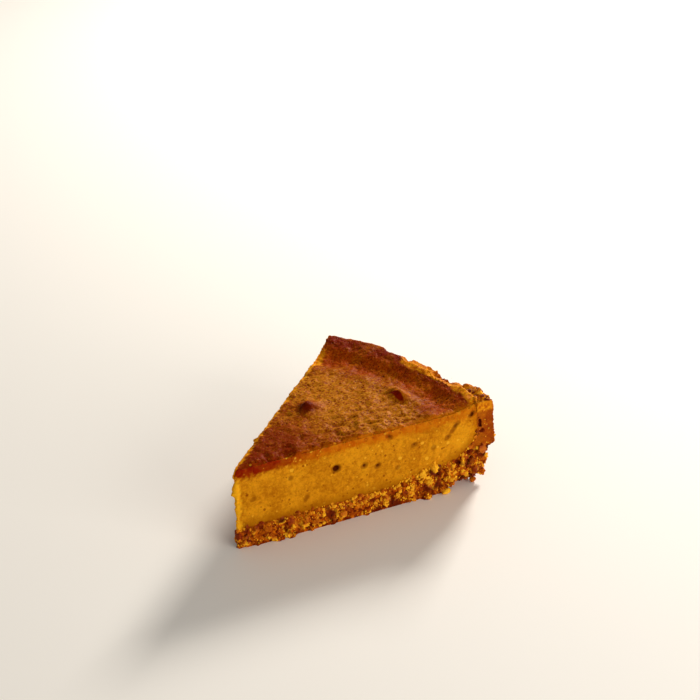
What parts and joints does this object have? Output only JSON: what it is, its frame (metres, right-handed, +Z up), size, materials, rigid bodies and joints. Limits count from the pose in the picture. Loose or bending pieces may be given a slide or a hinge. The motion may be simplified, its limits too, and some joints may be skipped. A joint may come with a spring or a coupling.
{
  "type": "pumpkin pie slice",
  "caption": "Wedge-shaped slice of baked pumpkin pie: a thick custard filling with a browned, blistered top, on a pressed biscuit-crumb crust that turns up into an outer wall.",
  "frame": {"origin": "centre of the slice's bounding box, on the plate it stands on", "axes": "+X from the tip to the rim, along the slice; +Y across it; +Z up"},
  "size_m": [0.1149, 0.0907, 0.0397],
  "materials": {
    "crust": "rough, crumbly baked biscuit crumbs, golden with red-brown gaps",
    "custard": "moist golden-orange baked custard with fine pores, and a brown satin skin on top"
  },
  "bodies": {
    "root": {"crust": "crust", "custard": "custard"}
  },
  "joints": []
}
